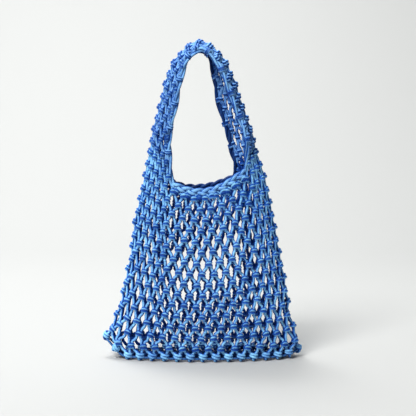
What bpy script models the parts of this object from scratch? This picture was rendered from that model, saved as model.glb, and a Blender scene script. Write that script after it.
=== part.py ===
"""A shoulder bag knotted from blue cotton cord.

The wall is a diamond net tied in the round on a base cord. Both ends of the mouth run on into one net
strap, which is curled like a channel, and two edge cords bind the mouth and the strap. The solids hold
every second strand of the real net, so each of their knots is one of its knots. The wall is one net, and
it is made in eight panels that meet at their knots.

The net is laid out by column and row: whole columns run round the bag, anticlockwise seen from above,
from the front left corner of the mouth, and rows run up from the base cord. The front faces -Y.
"""

import math

import bmesh
import bpy
import numpy as np

MM = 0.001

# The net
COLUMNS = 32
ROWS = 16
RIM_COLUMNS = 8
STRAP_COLUMNS = 8
STRAP_ROWS = 22
COARSE = 2
STRAP_STEPS = 12
LEFT_END = -5
RIGHT_END = LEFT_END + COLUMNS / 2
RIM_ROW = 15.6
STRAP_TO_RIM_PITCH = 0.55
CORNER_KNOT_SHIFT = 0.3
CORNER_KNOT_DROP = 0.46

# The panels that the wall is made in, each from its first column on
PANELS = (("front", -1), ("right", 7), ("back", 15), ("left", 23))
PANEL_COLUMNS = 8
PANEL_SPLIT_ROW = 8

# Cords and knots, in millimetres
CORD_HALF_DEPTH = 3.1
KNOT_HALF_WIDTH = 5.2
KNOT_HALF_HEIGHT = 4.6
SEAT_KNOT_HALF_WIDTH = 4.2
TOP_KNOT_HALF_WIDTH = 3.8
KNOT_HALF_DEPTH = 4.4
WIDEST_KNOT_TO_PITCH = 0.29
GAP = 0.3
SEAT_GAP = 0.45
BASE_NET_GAP = 1.1
BASE_CORD_RADIUS = 3.2
EDGE_CORD_RADIUS = 3.0
RIM_RADIUS = 4.2
RIM_TWIST_RELIEF = 0.6
RIM_TWIST_PITCH = 32.0
RIM_FADE = 10.0
RIM_SECTION_STEP = 4.0
STRAP_SECTION_STEP = 12.0
RIM_GUIDE_COLUMNS = (0.45, 1.5, 2.5, 3.5, 4.5, 5.5, 6.5, 7.55)
STRAP_GUIDE_MARGIN = 0.55
LARGEST_SAG = 0.8
FREE_END_SHARE = 0.7

# Heights of the wall, in millimetres
BASE_CORD_HEIGHT = BASE_CORD_RADIUS * math.cos(math.radians(30))
TOP_OF_ENDS = 337.5
LEFT_CORNER_LIFT = 27.0
RIGHT_CORNER_LIFT = 6.0
CORNER_LIFT_COLUMNS = 1.8

# How the top row falls from each end of the bag to the lowest point of the front and of the back: column of
# the end, column and height of the lowest point, and power, where more than 1 stays low for longer
TOP_SWEEPS = (
    (-5, 3, 280.5, 1.0),
    (11, 3, 280.5, 1.0),
    (11, 20.5, 282.0, 1.1),
    (27, 20.5, 282.0, 1.2),
)

# Level sections of the wall through the middle of its cords: height, left end, right end, half depth and
# squareness, where 2 is an ellipse and less is pointed
SECTIONS = (
    (0, -150, 155.7, 40.0, 1.8),
    (14, -154, 157, 41.0, 1.8),
    (30, -157, 157, 42.0, 1.8),
    (50, -146, 149, 42.5, 1.8),
    (75, -135, 141, 43.0, 1.85),
    (105, -127, 138, 41.5, 1.9),
    (165, -113.5, 126, 36.5, 2.0),
    (225, -105.5, 114.5, 29.5, 2.2),
    (280, -93, 103, 23.5, 2.4),
    (300, -89, 98, 22.5, 2.5),
    (340, -80.5, 84.5, 22.5, 2.5),
)

# Sections across the strap, from the left leg over the top to the right leg: x and z of the middle of the
# chord between its edges, half of that chord, how deep the channel is, and how far its back turns to the
# front, in degrees
STRAP_SECTIONS = (
    (-61.6, 353, 24, 16, 18),
    (-49.5, 416, 24, 13, 15),
    (-37.0, 463, 22, 12, 10),
    (-24.0, 489, 19, 8.5, 5),
    (-3.0, 503, 18, 8, 0),
    (18.0, 489, 19, 9, -8),
    (30.0, 459, 21, 15, -20),
    (41.5, 416, 24, 18, -28),
    (61.5, 353, 27, 18, -30),
)

CORD_COLOURS = {
    "net_wall": (0.072, 0.168, 0.42),
    "net_strap": (0.076, 0.178, 0.44),
    "net_base": (0.062, 0.148, 0.38),
    "base_cord": (0.058, 0.138, 0.36),
    "edge_cord_front": (0.064, 0.156, 0.40),
    "edge_cord_back": (0.052, 0.128, 0.34),
}
CORD_ROUGHNESS = 0.85

ARC_ANGLES = np.linspace(0, math.pi, 121)
FRONT = np.array((0.0, -1.0, 0.0))
UP = np.array((0.0, 0.0, 1.0))


def unit(vector):
    return vector / np.linalg.norm(vector)


def lengths_along(points):
    return np.concatenate(((0.0,), np.cumsum(np.linalg.norm(np.diff(points, axis=0), axis=1))))


def arc_point(share, half_width, half_depth, squareness):
    """The point at this share of the length of the lower half of a section, from its left end."""
    power = 2 / squareness
    x = -half_width * np.sign(np.cos(ARC_ANGLES)) * np.abs(np.cos(ARC_ANGLES)) ** power
    y = -half_depth * np.abs(np.sin(ARC_ANGLES)) ** power
    along = lengths_along(np.column_stack((x, y)))
    return np.interp(share * along[-1], along, x), np.interp(share * along[-1], along, y)


def section_at(height):
    table = np.array(SECTIONS)
    left, right, half_depth, squareness = (np.interp(height, table[:, 0], column) for column in table.T[1:])
    return (left + right) / 2, (right - left) / 2, half_depth, squareness


def columns_from(end, column):
    return abs((column - end + COLUMNS / 2) % COLUMNS - COLUMNS / 2)


def lift_of_corner(end, column):
    away = min(1.0, columns_from(end, column) / CORNER_LIFT_COLUMNS)
    return math.cos(math.pi / 2 * away) ** 2


def base_height(column):
    """The middle of the base cord: on the ground, but for the two corners, which are drawn up."""
    left = LEFT_CORNER_LIFT * lift_of_corner(LEFT_END, column)
    return BASE_CORD_HEIGHT + left + RIGHT_CORNER_LIFT * lift_of_corner(RIGHT_END, column)


def top_height(column):
    """The row that the strap starts from. It dips in the front and in the back."""
    column = (column - LEFT_END) % COLUMNS + LEFT_END
    for end, lowest_column, lowest, power in TOP_SWEEPS:
        share = (column - lowest_column) / (end - lowest_column)
        if 0 <= share <= 1:
            return lowest + (TOP_OF_ENDS - lowest) * (0.5 - 0.5 * math.cos(math.pi * share)) ** power
    raise ValueError(f"no sweep of the top row holds column {column}")


def share_round_face(along, rise):
    """How far round the front or back a column stands. Columns under the strap grow narrower upwards."""
    narrow = 1 + (STRAP_TO_RIM_PITCH - 1) * rise
    first = -LEFT_END
    marks = (0, first, first + RIM_COLUMNS, COLUMNS / 2)
    widths = (0, first * narrow, first * narrow + RIM_COLUMNS, STRAP_COLUMNS * narrow + RIM_COLUMNS)
    return np.interp(along, marks, widths) / widths[-1]


def wall_point(column, row):
    rise = row / ROWS
    height = base_height(column) + (top_height(column) - base_height(column)) * rise
    centre, half_width, half_depth, squareness = section_at(height)
    face, along = divmod(column - LEFT_END, COLUMNS / 2)
    x, y = arc_point(share_round_face(along, rise), half_width, half_depth, squareness)
    if face % 2:
        x, y = -x, -y
    return np.array((centre + x, y, height))


def smooth_curve(points, steps=10):
    """Points along a smooth curve through the given ones, with that many steps between each two."""
    points = np.asarray(points)
    at = lengths_along(points)
    slopes = np.gradient(points, at, axis=0)
    curve = []
    for start in range(len(points) - 1):
        span = at[start + 1] - at[start]
        for t in np.arange(steps) / steps:
            curve.append(
                (2 * t**3 - 3 * t**2 + 1) * points[start]
                + (t**3 - 2 * t**2 + t) * span * slopes[start]
                + (3 * t**2 - 2 * t**3) * points[start + 1]
                + (t**3 - t**2) * span * slopes[start + 1]
            )
    curve.append(points[-1])
    return np.array(curve)


def strap_section_points(share):
    """The point at this share of the way from front edge to back edge, in each section of the strap."""
    table = np.array(STRAP_SECTIONS, dtype=float)
    middles = np.column_stack((table[:, 0], np.zeros(len(table)), table[:, 1]))
    tangents = np.gradient(middles, lengths_along(middles), axis=0)
    points = []
    for middle, tangent, (half_chord, depth, turn) in zip(middles, tangents, table[:, 2:]):
        tangent = unit(tangent)
        outward = np.array((-tangent[2], 0.0, tangent[0]))
        turn = math.radians(turn)
        ridge = math.cos(turn) * outward + math.sin(turn) * FRONT
        to_front = math.cos(turn) * FRONT - math.sin(turn) * outward
        along_chord, in_depth = arc_point(share, half_chord, depth, 2)
        points.append(middle - along_chord * to_front - in_depth * ridge)
    return points


STRAP_CURVES = {}


def strap_curve(column):
    """The strap's curve at one column, and its length from its start, from the left end to the right."""
    column = round(float(column), 4)
    if column not in STRAP_CURVES:
        rows_below = (ROWS - 3, ROWS - 1.5, ROWS)
        left = [wall_point(column, row) for row in rows_below]
        right = [wall_point(RIM_COLUMNS - column, row) for row in reversed(rows_below)]
        steps = 10
        curve = smooth_curve(left + strap_section_points(-column / STRAP_COLUMNS) + right, steps)
        in_wall = steps * (len(rows_below) - 1)
        STRAP_CURVES[column] = (curve, lengths_along(curve) - lengths_along(curve)[in_wall], in_wall)
    return STRAP_CURVES[column]


def strap_point(column, row):
    """Column 0 is the front edge and -8 the back edge. The rows run over the top, from left to right."""
    curve, along, in_wall = strap_curve(column)
    at = along[-1 - in_wall] * row / STRAP_ROWS
    return np.array([np.interp(at, along, curve[:, axis]) for axis in range(3)])


def seat_frame(column, row, step=0.15):
    """Place on the wall, direction along the cord there, direction square to it up the wall, and outward."""
    across = unit(wall_point(column + step, row) - wall_point(column - step, row))
    up = wall_point(column, row + step) - wall_point(column, row - step)
    out = unit(np.cross(across, up))
    return wall_point(column, row), across, np.cross(out, across), out


def knot_frame(surface, column, row, step=0.15):
    """Place, direction square to the column, direction up the column and outward direction."""
    lowest, highest = (-STRAP_COLUMNS, 0) if surface is strap_point else (-math.inf, math.inf)
    inside = min(max(column, lowest + step), highest - step)
    across = surface(inside + step, row) - surface(inside - step, row)
    up = unit(surface(column, row + step) - surface(column, row - step))
    out = unit(np.cross(across, up))
    return surface(column, row), np.cross(up, out), up, out


def pitch_at(surface, column, row):
    """How far apart the knots of one row are, square to their columns."""
    low, high = column - COARSE / 2, column + COARSE / 2
    if surface is strap_point:
        low, high = max(low, -STRAP_COLUMNS), min(high, 0)
    _, across, _, _ = knot_frame(surface, column, row)
    return across.dot(surface(high, row) - surface(low, row)) * COARSE / (high - low)


CORNERS = ("right", "top", "left", "bottom")


def knot_points(place, across, up, out, half_width, missing=(), depths=(1, -1)):
    """A knot's corners by name, its raised middles, and the outer and inner ridge of each of its sides."""
    reach = {
        "right": across * half_width,
        "top": up * KNOT_HALF_HEIGHT,
        "left": -across * half_width,
        "bottom": -up * KNOT_HALF_HEIGHT,
    }
    corners = {name: place + reach[name] for name in CORNERS if name not in missing}
    middles = [place + out * KNOT_HALF_DEPTH * depth for depth in depths]
    names = list(corners)
    sides = {}
    for first, second in zip(names, names[1:] + names[:1]):
        middle = (corners[first] + corners[second]) / 2
        sides[first, second] = [middle + out * CORD_HALF_DEPTH * depth for depth in depths]
    return corners, middles, sides


def face_of(mesh, *corners):
    mesh.faces.new(corners)


def add_knot(mesh, corners, middles, sides):
    """Adds a knot and gives its open sides, each a ring of corner, outer ridge, corner and inner ridge."""
    corner_verts = {name: mesh.verts.new(point * MM) for name, point in corners.items()}
    outer, inner = (mesh.verts.new(point * MM) for point in middles)
    rings = {}
    for (first, second), ridges in sides.items():
        over, under = (mesh.verts.new(point * MM) for point in ridges)
        start, end = corner_verts[first], corner_verts[second]
        for middle, ridge in ((outer, over), (inner, under)):
            face_of(mesh, start, ridge, middle)
            face_of(mesh, ridge, end, middle)
        rings[first, second] = (start, over, end, under)
    return rings


def join_rings(mesh, ring, other):
    for index in range(4):
        after = (index + 1) % 4
        face_of(mesh, ring[index], ring[after], other[after], other[index])


def turned(ring):
    """The same ring met from its other end, so that its corners pair with those across the strand."""
    start, over, end, under = ring
    return (end, over, start, under)


def add_strand(mesh, ring, other, middle=None):
    """A strand from one ring to another, through the middle of the surface between them where it bends."""
    other = turned(other)
    if middle is None:
        join_rings(mesh, ring, other)
        return
    place, out = middle
    ends = [np.mean([np.array(vert.co) for vert in end], axis=0) for end in (ring, other)]
    if np.linalg.norm(place * MM - (ends[0] + ends[1]) / 2) < LARGEST_SAG * MM:
        join_rings(mesh, ring, other)
        return
    aside = unit(np.array(ring[0].co - ring[2].co) + np.array(other[0].co - other[2].co))
    along = unit(ends[1] - ends[0])
    aside = unit(aside - along * aside.dot(along))
    half_width = np.mean([abs(aside.dot(np.array(end[0].co - end[2].co))) / 2 for end in (ring, other)])
    points = (
        place * MM + aside * half_width,
        (place + out * CORD_HALF_DEPTH) * MM,
        place * MM - aside * half_width,
        (place - out * CORD_HALF_DEPTH) * MM,
    )
    between = tuple(mesh.verts.new(point) for point in points)
    join_rings(mesh, ring, between)
    join_rings(mesh, between, other)


def close_rings(mesh, rings):
    for ring in rings:
        face_of(mesh, *ring)


def cord_material(name):
    material = bpy.data.materials.new(f"{name}_cotton")
    material.use_nodes = True
    shader = material.node_tree.nodes["Principled BSDF"]
    shader.inputs["Base Color"].default_value = (*CORD_COLOURS.get(name, CORD_COLOURS["net_wall"]), 1)
    shader.inputs["Roughness"].default_value = CORD_ROUGHNESS
    shader.inputs["Metallic"].default_value = 0
    return material


def object_from(mesh, name):
    bmesh.ops.recalc_face_normals(mesh, faces=mesh.faces)
    data = bpy.data.meshes.new(name)
    mesh.to_mesh(data)
    mesh.free()
    data.materials.append(cord_material(name))
    made = bpy.data.objects.new(name, data)
    bpy.context.scene.collection.objects.link(made)
    return made


UPPER_RIGHT = ("right", "top")
UPPER_LEFT = ("top", "left")
LOWER_LEFT = ("left", "bottom")
LOWER_RIGHT = ("bottom", "right")


def wall_knot(column, row):
    """A knot of the wall. Those that meet the base cord or the rim are half knots, seated flat on it."""
    on_rim = row == ROWS and 0 < column % (COLUMNS // 2) < RIM_COLUMNS
    on_corner = row == ROWS and column % (COLUMNS // 2) in (0, RIM_COLUMNS)
    if on_corner:
        row = RIM_ROW - CORNER_KNOT_DROP
        column += CORNER_KNOT_SHIFT if column % (COLUMNS // 2) else -CORNER_KNOT_SHIFT
    if row == 0 or on_rim:
        place, across, up, out = seat_frame(column, RIM_ROW if on_rim else row)
    else:
        place, across, up, out = knot_frame(wall_point, column, row)
    half_width = min(KNOT_HALF_WIDTH, WIDEST_KNOT_TO_PITCH * pitch_at(wall_point, column, row))
    missing = ()
    if row == 0:
        place = place + up * (BASE_CORD_RADIUS + SEAT_GAP)
        half_width = SEAT_KNOT_HALF_WIDTH
        missing = ("bottom",)
    elif on_rim:
        place = place - up * (RIM_RADIUS + GAP)
        missing = ("top",)
    elif row == ROWS:
        half_width = TOP_KNOT_HALF_WIDTH
    return knot_points(place, across, up, out, half_width, missing)


def free_ring(mesh, wall_column, row, side, towards):
    """The end of a strand of another solid, against one side of a knot of the wall."""
    corners, _, sides = wall_knot(wall_column, row)
    first, second = side
    over, under = sides[side]
    points = np.array((corners[first], over, corners[second], under))
    centre = points.mean(axis=0)
    off = unit(np.cross(corners[second] - corners[first], over - under))
    if off.dot(towards - centre) < 0:
        off = -off
    points = centre + (points - centre) * FREE_END_SHARE + off * 2 * GAP
    return tuple(mesh.verts.new(point * MM) for point in points)


def make_wall_part(name, first_column, first_row, last_row):
    """One panel of the wall: its knots and the strands that leave them upwards."""
    mesh = bmesh.new()
    rings = {}
    for row in range(first_row, last_row + 1, COARSE):
        for column in range(first_column, first_column + PANEL_COLUMNS):
            if (column + row // COARSE) % COARSE == 0:
                rings[column % COLUMNS, row] = add_knot(mesh, *wall_knot(column % COLUMNS, row))
    used = set()
    capped = []
    for (column, row), sides in rings.items():
        if row == ROWS:
            continue
        for step, leaving, arriving in ((1, UPPER_RIGHT, LOWER_LEFT), (-1, UPPER_LEFT, LOWER_RIGHT)):
            above = ((column + step) % COLUMNS, row + COARSE)
            place, _, _, out = knot_frame(wall_point, column + step / 2, row + COARSE / 2)
            if above in rings:
                end = rings[above][arriving]
                used.add((*above, arriving))
            else:
                end = free_ring(mesh, *above, arriving, place)
                capped.append(end)
            add_strand(mesh, sides[leaving], end, (place, out))
            used.add((column, row, leaving))
    for (column, row), sides in rings.items():
        capped += [ring for side, ring in sides.items() if (column, row, side) not in used]
    close_rings(mesh, capped)
    return object_from(mesh, name)


def make_wall():
    """The wall in four panels round the bag, each in a lower and an upper half."""
    for side, first_column in PANELS:
        make_wall_part(f"net_{side}_low", first_column, 0, PANEL_SPLIT_ROW - COARSE)
        make_wall_part(f"net_{side}_high", first_column, PANEL_SPLIT_ROW, ROWS)


def make_strap():
    mesh = bmesh.new()
    rings = {}
    for step in range(1, STRAP_STEPS):
        row = STRAP_ROWS * step / STRAP_STEPS
        for column in range(-(step % COARSE), -STRAP_COLUMNS - 1, -COARSE):
            missing = {0: ("right",), -STRAP_COLUMNS: ("left",)}.get(column, ())
            half_width = min(KNOT_HALF_WIDTH, WIDEST_KNOT_TO_PITCH * pitch_at(strap_point, column, row))
            frame = knot_frame(strap_point, column, row)
            rings[column, step] = add_knot(mesh, *knot_points(*frame, half_width, missing))
    capped = []
    for step in range(STRAP_STEPS):
        for column in range(-(step % COARSE), -STRAP_COLUMNS - 1, -COARSE):
            for aside, leaving, arriving in ((1, UPPER_RIGHT, LOWER_LEFT), (-1, UPPER_LEFT, LOWER_RIGHT)):
                if not -STRAP_COLUMNS <= column + aside <= 0:
                    continue
                middle_row = STRAP_ROWS * (step + 0.5) / STRAP_STEPS
                place, _, _, out = knot_frame(strap_point, column + aside / 2, middle_row)
                if step == 0:
                    start = free_ring(mesh, column, ROWS, leaving, place)
                    capped.append(start)
                else:
                    start = rings[column, step][leaving]
                if step == STRAP_STEPS - 1:
                    end = free_ring(mesh, RIM_COLUMNS - column - aside, ROWS, leaving, place)
                    capped.append(end)
                else:
                    end = rings[column + aside, step + 1][arriving]
                add_strand(mesh, start, end, (place, out))
    for (column, step), sides in rings.items():
        if column in (0, -STRAP_COLUMNS):
            capped += [ring for side, ring in sides.items() if set(side) == {"top", "bottom"}]
    close_rings(mesh, capped)
    return object_from(mesh, "net_strap")


def make_base():
    """The base net: knots against the base cord in front and behind, and a row of knots between them."""
    mesh = bmesh.new()
    half_step = COARSE // 2
    first = LEFT_END + half_step
    front_columns = range(first, first + COLUMNS // 2, COARSE)
    rings = {}
    for order, column in enumerate(front_columns):
        opposite = 2 * LEFT_END - column
        for level, at, missing in ((0, column, "bottom"), (2, opposite, "top")):
            place, _, _, out = seat_frame(at, 0)
            inward = unit(np.array((-out[0], -out[1], 0.0)))
            place = place + inward * (BASE_CORD_RADIUS + BASE_NET_GAP) - UP * BASE_CORD_HEIGHT
            up = inward if level == 0 else -inward
            across = unit(np.cross(up, UP))
            points = knot_points(place, across, up, UP, SEAT_KNOT_HALF_WIDTH, (missing,), (1, 0))
            rings[order, level] = add_knot(mesh, *points)
    across = np.array((1.0, 0.0, 0.0))
    for order, column in enumerate(front_columns[:-1]):
        corners = [wall_point(at, 0) for at in (column, column + COARSE)]
        place = np.array(((corners[0][0] + corners[1][0]) / 2, 0.0, 0.0))
        points = knot_points(place, across, -FRONT, UP, KNOT_HALF_WIDTH, (), (1, 0))
        rings[order + 0.5, 1] = add_knot(mesh, *points)
    used = set()
    for (order, level), sides in rings.items():
        for aside, leaving, arriving in ((0.5, UPPER_RIGHT, LOWER_LEFT), (-0.5, UPPER_LEFT, LOWER_RIGHT)):
            above = (order + aside, level + 1)
            if above in rings:
                add_strand(mesh, sides[leaving], rings[above][arriving])
                used |= {(order, level, leaving), (*above, arriving)}
    for (order, level), sides in rings.items():
        close_rings(mesh, [ring for side, ring in sides.items() if (order, level, side) not in used])
    return object_from(mesh, "net_base")


def cord_loop(name, centres, outs, radius_at):
    """A closed cord with six sides. Its radius may change along it and round it."""
    mesh = bmesh.new()
    centres = np.asarray(centres)
    angles = np.radians(np.arange(0, 360, 60))
    rings = []
    for index, centre in enumerate(centres):
        tangent = unit(centres[(index + 1) % len(centres)] - centres[index - 1])
        outward = unit(outs[index] - tangent * tangent.dot(outs[index]))
        beside = np.cross(outward, tangent)
        ring = []
        for angle in angles:
            radius = radius_at(index, angle)
            point = centre + radius * (math.cos(angle) * outward + math.sin(angle) * beside)
            ring.append(mesh.verts.new(point * MM))
        rings.append(ring)
    for ring, after in zip(rings, rings[1:] + rings[:1]):
        for side, corner in enumerate(ring):
            following = (side + 1) % len(ring)
            face_of(mesh, corner, ring[following], after[following], after[side])
    made = object_from(mesh, name)
    made.data.shade_smooth()
    return made


def make_base_cord():
    columns = np.arange(0, COLUMNS, 0.5)
    centres = [wall_point(column, 0) for column in columns]
    outs = []
    for column in columns:
        _, _, _, out = seat_frame(column, 0)
        outs.append(unit(np.array((out[0], out[1], 0.0))))
    return cord_loop("base_cord", centres, outs, lambda index, angle: BASE_CORD_RADIUS)


def edge_cord_guides(front):
    """Points round one half of the mouth and back along the strap's edge, and the outward direction at each."""
    first = 0 if front else COLUMNS // 2
    edge = 0 if front else -STRAP_COLUMNS
    away = 1 if front else -1
    guides = [seat_frame(first + column, RIM_ROW)[0::3] for column in RIM_GUIDE_COLUMNS]
    rows = np.linspace(STRAP_GUIDE_MARGIN, STRAP_ROWS - STRAP_GUIDE_MARGIN, STRAP_ROWS)
    for row in rows[::-1] if front else rows:
        place, across, _, out = knot_frame(strap_point, edge, row)
        guides.append((place + away * across * (EDGE_CORD_RADIUS + GAP), out))
    return guides


def make_edge_cord(name, front):
    """Two strands twisted together along the rim, which run on as one plain cord along the strap."""
    guides = edge_cord_guides(front)
    steps = 5
    lap = 3
    order = np.arange(-lap, len(guides) + lap) % len(guides)
    curve = smooth_curve([guides[index][0] for index in order], steps)
    curve = curve[lap * steps : (lap + len(guides)) * steps + 1]
    along = lengths_along(curve)
    rim_length = along[(len(RIM_GUIDE_COLUMNS) - 1) * steps]
    strap_length = along[-1] - rim_length
    on_rim = np.linspace(0, rim_length, round(rim_length / RIM_SECTION_STEP) + 1)
    on_strap = np.linspace(rim_length, along[-1], round(strap_length / STRAP_SECTION_STEP) + 1)[1:-1]
    at = np.concatenate((on_rim, on_strap))
    centres = np.column_stack([np.interp(at, along, curve[:, axis]) for axis in range(3)])
    nearest_guides = np.round(np.interp(at, along, np.arange(len(curve)) / steps)).astype(int)
    outs = [guides[index % len(guides)][1] for index in nearest_guides]

    def radius_at(index, angle):
        fade = max(0.0, min(1.0, at[index] / RIM_FADE, (rim_length - at[index]) / RIM_FADE))
        thick = EDGE_CORD_RADIUS + (RIM_RADIUS - EDGE_CORD_RADIUS) * fade
        turn = 2 * math.pi * at[index] / RIM_TWIST_PITCH
        return thick + RIM_TWIST_RELIEF * fade * math.cos(2 * (angle - turn))

    return cord_loop(name, centres, outs, radius_at)


def clear_scene():
    for thing in list(bpy.data.objects):
        bpy.data.objects.remove(thing, do_unlink=True)


clear_scene()
make_wall()
make_strap()
make_base()
make_base_cord()
make_edge_cord("edge_cord_front", True)
make_edge_cord("edge_cord_back", False)
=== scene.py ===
import math
import random

import bmesh
import bpy
import numpy as np
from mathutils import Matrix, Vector


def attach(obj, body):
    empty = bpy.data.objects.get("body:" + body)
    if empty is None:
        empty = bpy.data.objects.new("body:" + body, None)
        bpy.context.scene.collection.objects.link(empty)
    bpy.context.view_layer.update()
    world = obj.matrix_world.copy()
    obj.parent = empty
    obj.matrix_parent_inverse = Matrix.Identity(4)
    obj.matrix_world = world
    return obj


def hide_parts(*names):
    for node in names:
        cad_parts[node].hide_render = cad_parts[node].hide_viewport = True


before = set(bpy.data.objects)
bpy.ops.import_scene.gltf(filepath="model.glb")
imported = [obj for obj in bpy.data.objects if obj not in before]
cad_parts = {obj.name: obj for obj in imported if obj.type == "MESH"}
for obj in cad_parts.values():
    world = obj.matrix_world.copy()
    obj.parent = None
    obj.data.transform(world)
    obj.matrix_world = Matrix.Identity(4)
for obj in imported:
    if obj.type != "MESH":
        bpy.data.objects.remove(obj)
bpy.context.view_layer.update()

# The camera
# It stands two metres in front of the bag and a little above it, with a long lens, and looks slightly down.
CAMERA_DISTANCE = 2.0
CAMERA_ELEVATION = math.radians(7.0)
CAMERA_LENS = 107.0
CAMERA_TARGET = Vector((0.0105, 0.0, 0.245))

camera = bpy.data.objects.new("camera", bpy.data.cameras.new("camera"))
bpy.context.scene.collection.objects.link(camera)
camera_back = Vector((0.0, -math.cos(CAMERA_ELEVATION), math.sin(CAMERA_ELEVATION)))
camera.location = CAMERA_TARGET + camera_back * CAMERA_DISTANCE
camera.rotation_euler = (-camera_back).to_track_quat("-Z", "Y").to_euler()
camera.data.lens = CAMERA_LENS
camera.data.clip_start = 0.1
camera.data.clip_end = 30.0
bpy.context.scene.camera = camera


# The base cord
# The net is started on a thin cord of the same soft tubular cotton, laid in an oval with its two ends drawn
# up into the corners. All lengths from here on are millimetres, and a mesh is made in metres at the end.
MM = 0.001
COLUMNS = 32
ROWS = 16
RIM_COLUMNS = 8
LEFT_END = -5
RIGHT_END = LEFT_END + COLUMNS / 2
STRAP_TO_RIM_PITCH = 0.55
BASE_CORD_RADIUS = 1.95
BASE_CORD_HEIGHT = 5.1
BASE_CORD_POINTS = 320
# The base cord's blues are deeper than the wall's: painted shade, as it lies low in the shadow under the
# bag.
BASE_CORD_SHADED_BLUES = ((0.002, 0.014, 0.090), (0.009, 0.058, 0.240), (0.060, 0.180, 0.450))
CORD_SIDES = 7
WALES = 7
STITCH_PITCH = 1.7
# Painted light on the stitches: lighter on their tops, painted shade in the gaps between them
STITCH_SHADE = 0.22
FIBRE_SCALE = 2600.0
DYE_SCALE = 34.0
UNEVEN_DYE = 0.9
WEAR_SCALE = 150.0
UNEVEN_WEAR = 0.8
FLOOR_GAP = 0.3
FLOOR_SOFTNESS = 0.8
LEFT_CORNER_LIFT = 27.0
RIGHT_CORNER_LIFT = 6.0
CORNER_LIFT_COLUMNS = 1.8
TOP_OF_ENDS = 337.5
ARC_ANGLES = np.linspace(0, math.pi, 121)

# How the top row falls from each end of the bag to its lowest point: column of the end, column of the
# lowest point, height of the lowest point, and power
TOP_SWEEPS = ((-5, 3, 280.5, 1.0), (11, 3, 280.5, 1.0), (11, 20.5, 282.0, 1.1), (27, 20.5, 282.0, 1.2))

# Level sections of the wall: height, left end, right end, half depth and squareness
SECTIONS = np.array((
    (0, -150, 155.7, 40.0, 1.8),
    (14, -154, 157, 41.0, 1.8),
    (30, -157, 157, 42.0, 1.8),
    (50, -146, 149, 42.5, 1.8),
    (75, -135, 141, 43.0, 1.85),
    (105, -127, 138, 41.5, 1.9),
    (165, -113.5, 126, 36.5, 2.0),
    (225, -105.5, 114.5, 29.5, 2.2),
    (280, -93, 103, 23.5, 2.4),
    (300, -89, 98, 22.5, 2.5),
    (340, -80.5, 84.5, 22.5, 2.5),
))
section_heights, *section_shapes = SECTIONS.T


def unit(vectors):
    return vectors / np.linalg.norm(vectors, axis=-1, keepdims=True)


def lengths_along(points):
    return np.concatenate(((0.0,), np.cumsum(np.linalg.norm(np.diff(points, axis=0), axis=1))))


def arc_point(share, half_width, half_depth, squareness):
    """The point at this share of the length of the lower half of a section, from its left end."""
    power = 2 / squareness
    x = -half_width * np.sign(np.cos(ARC_ANGLES)) * np.abs(np.cos(ARC_ANGLES)) ** power
    y = -half_depth * np.abs(np.sin(ARC_ANGLES)) ** power
    along = lengths_along(np.column_stack((x, y)))
    return np.interp(share * along[-1], along, x), np.interp(share * along[-1], along, y)


def lift_of_corner(end, column):
    away = abs((column - end + COLUMNS / 2) % COLUMNS - COLUMNS / 2) / CORNER_LIFT_COLUMNS
    return math.cos(math.pi / 2 * min(1.0, away)) ** 2


def top_height(column):
    """The row that the strap starts from. It dips in the front and in the back."""
    column = (column - LEFT_END) % COLUMNS + LEFT_END
    for end, lowest_column, lowest, power in TOP_SWEEPS:
        share = (column - lowest_column) / (end - lowest_column)
        if 0 <= share <= 1:
            break
    return lowest + (TOP_OF_ENDS - lowest) * (0.5 - 0.5 * math.cos(math.pi * share)) ** power


def wall_point(column, row):
    """The wall's surface. Columns run anticlockwise from the mouth's front left corner, and rows run up."""
    rise = row / ROWS
    base = BASE_CORD_HEIGHT + LEFT_CORNER_LIFT * lift_of_corner(LEFT_END, column)
    base += RIGHT_CORNER_LIFT * lift_of_corner(RIGHT_END, column)
    height = base + (top_height(column) - base) * rise
    left, right, half_depth, squareness = (
        np.interp(height, section_heights, values) for values in section_shapes
    )
    face, along = divmod(column - LEFT_END, COLUMNS / 2)
    narrow = 1 + (STRAP_TO_RIM_PITCH - 1) * rise
    first = -LEFT_END
    marks = (0, first, first + RIM_COLUMNS, COLUMNS / 2)
    widths = (0, first * narrow, first * narrow + RIM_COLUMNS, 2 * RIM_COLUMNS - (1 - narrow) * RIM_COLUMNS)
    share = np.interp(along, marks, widths) / widths[-1]
    x, y = arc_point(share, (right - left) / 2, half_depth, squareness)
    if face % 2:
        x, y = -x, -y
    return np.array(((left + right) / 2 + x, y, height))


def wall_frame(column, row, step=0.15):
    """Place, direction along a cord laid there, direction square to it up the wall, and outward."""
    across = unit(wall_point(column + step, row) - wall_point(column - step, row))
    up = wall_point(column, row + step) - wall_point(column, row - step)
    out = unit(np.cross(across, up))
    return wall_point(column, row), across, np.cross(out, across), out


def above_floor(points):
    """The same points, with what would sink into the floor pressed flat just above it."""
    height = points[..., 2] - FLOOR_GAP
    pressed = FLOOR_SOFTNESS * np.logaddexp(0, height / FLOOR_SOFTNESS) + FLOOR_GAP
    lifted = points.copy()
    lifted[..., 2] = np.where(height < 4 * FLOOR_SOFTNESS, pressed, points[..., 2])
    return lifted


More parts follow.
